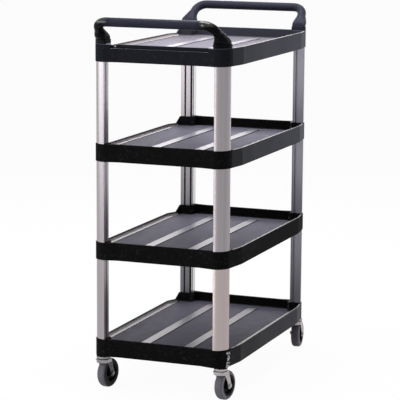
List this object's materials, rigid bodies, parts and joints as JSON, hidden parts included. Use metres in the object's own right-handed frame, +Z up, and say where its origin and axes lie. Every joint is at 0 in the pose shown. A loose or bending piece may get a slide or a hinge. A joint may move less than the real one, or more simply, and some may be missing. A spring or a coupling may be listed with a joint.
{
  "type": "four-tier utility cart",
  "caption": "Utility cart with open plastic trays on quarter-round aluminium uprights, a bent push handle at each end and swivel casters underneath.",
  "frame": {"origin": "on the floor under the middle of the cart", "axes": "+Z up, X along the length with the front end at -X, +Y to the left side with the low tray lips"},
  "size_m": [0.951, 0.522, 1.2785],
  "materials": {
    "tray": "textured satin",
    "handle": "satin",
    "upright": "satin anodised",
    "screw": "plated",
    "tyre": "matt",
    "wheel_core": "satin",
    "plated_pressing": "bright zinc plated",
    "caster_steel": "zinc plated"
  },
  "bodies": {
    "cart": {"bottom_tray": "tray", "lower_tray": "tray", "upper_tray": "tray", "top_tray": "tray", "front_left_lower_upright": "upright", "front_right_lower_upright": "upright", "rear_left_lower_upright": "upright", "rear_right_lower_upright": "upright", "front_left_middle_upright": "upright", "front_right_middle_upright": "upright", "rear_left_middle_upright": "upright", "rear_right_middle_upright": "upright", "front_left_upper_upright": "upright", "front_right_upper_upright": "upright", "rear_left_upper_upright": "upright", "rear_right_upper_upright": "upright", "front_handle": "handle", "rear_handle": "handle", "upright_screws": "screw", "handle_screws": "screw", "front_left_caster_stem": "caster_steel", "front_left_caster_race": "plated_pressing", "front_right_caster_stem": "caster_steel", "front_right_caster_race": "plated_pressing", "rear_left_caster_stem": "caster_steel", "rear_left_caster_race": "plated_pressing", "rear_right_caster_stem": "caster_steel", "rear_right_caster_race": "plated_pressing"},
    "front_left_swivel": {"front_left_fork": "plated_pressing", "front_left_caster_balls": "caster_steel", "front_left_axle_bolt": "caster_steel", "front_left_axle_nut": "caster_steel", "front_left_axle_bush": "caster_steel"},
    "front_left_wheel": {"front_left_wheel_core": "wheel_core", "front_left_tyre": "tyre"},
    "front_right_swivel": {"front_right_fork": "plated_pressing", "front_right_caster_balls": "caster_steel", "front_right_axle_bolt": "caster_steel", "front_right_axle_nut": "caster_steel", "front_right_axle_bush": "caster_steel"},
    "front_right_wheel": {"front_right_wheel_core": "wheel_core", "front_right_tyre": "tyre"},
    "rear_left_swivel": {"rear_left_fork": "plated_pressing", "rear_left_caster_balls": "caster_steel", "rear_left_axle_bolt": "caster_steel", "rear_left_axle_nut": "caster_steel", "rear_left_axle_bush": "caster_steel"},
    "rear_left_wheel": {"rear_left_wheel_core": "wheel_core", "rear_left_tyre": "tyre"},
    "rear_right_swivel": {"rear_right_fork": "plated_pressing", "rear_right_caster_balls": "caster_steel", "rear_right_axle_bolt": "caster_steel", "rear_right_axle_nut": "caster_steel", "rear_right_axle_bush": "caster_steel"},
    "rear_right_wheel": {"rear_right_wheel_core": "wheel_core", "rear_right_tyre": "tyre"}
  },
  "joints": [
    {"name": "front_left_swivel_turn", "type": "hinge", "parent": "cart", "child": "front_left_swivel", "pos_m": [-0.395, 0.205, 0.1035], "axis": [0, 0, 1], "continuous": true},
    {"name": "front_left_wheel_turn", "type": "hinge", "parent": "front_left_swivel", "child": "front_left_wheel", "pos_m": [-0.36636, 0.20041, 0.05], "axis": [0.1582, 0.9874, 0], "continuous": true},
    {"name": "front_right_swivel_turn", "type": "hinge", "parent": "cart", "child": "front_right_swivel", "pos_m": [-0.395, -0.225, 0.1035], "axis": [0, 0, 1], "continuous": true},
    {"name": "front_right_wheel_turn", "type": "hinge", "parent": "front_right_swivel", "child": "front_right_wheel", "pos_m": [-0.36639, -0.22974, 0.05], "axis": [0.1633, 0.9866, 0], "continuous": true},
    {"name": "rear_left_swivel_turn", "type": "hinge", "parent": "cart", "child": "rear_left_swivel", "pos_m": [0.395, 0.205, 0.1035], "axis": [0, 0, 1], "continuous": true},
    {"name": "rear_left_wheel_turn", "type": "hinge", "parent": "rear_left_swivel", "child": "rear_left_wheel", "pos_m": [0.42393, 0.20702, 0.05], "axis": [-0.0698, 0.9976, 0], "continuous": true},
    {"name": "rear_right_swivel_turn", "type": "hinge", "parent": "cart", "child": "rear_right_swivel", "pos_m": [0.395, -0.225, 0.1035], "axis": [0, 0, 1], "continuous": true},
    {"name": "rear_right_wheel_turn", "type": "hinge", "parent": "rear_right_swivel", "child": "rear_right_wheel", "pos_m": [0.42374, -0.22111, 0.05], "axis": [-0.134, 0.991, 0], "continuous": true}
  ]
}
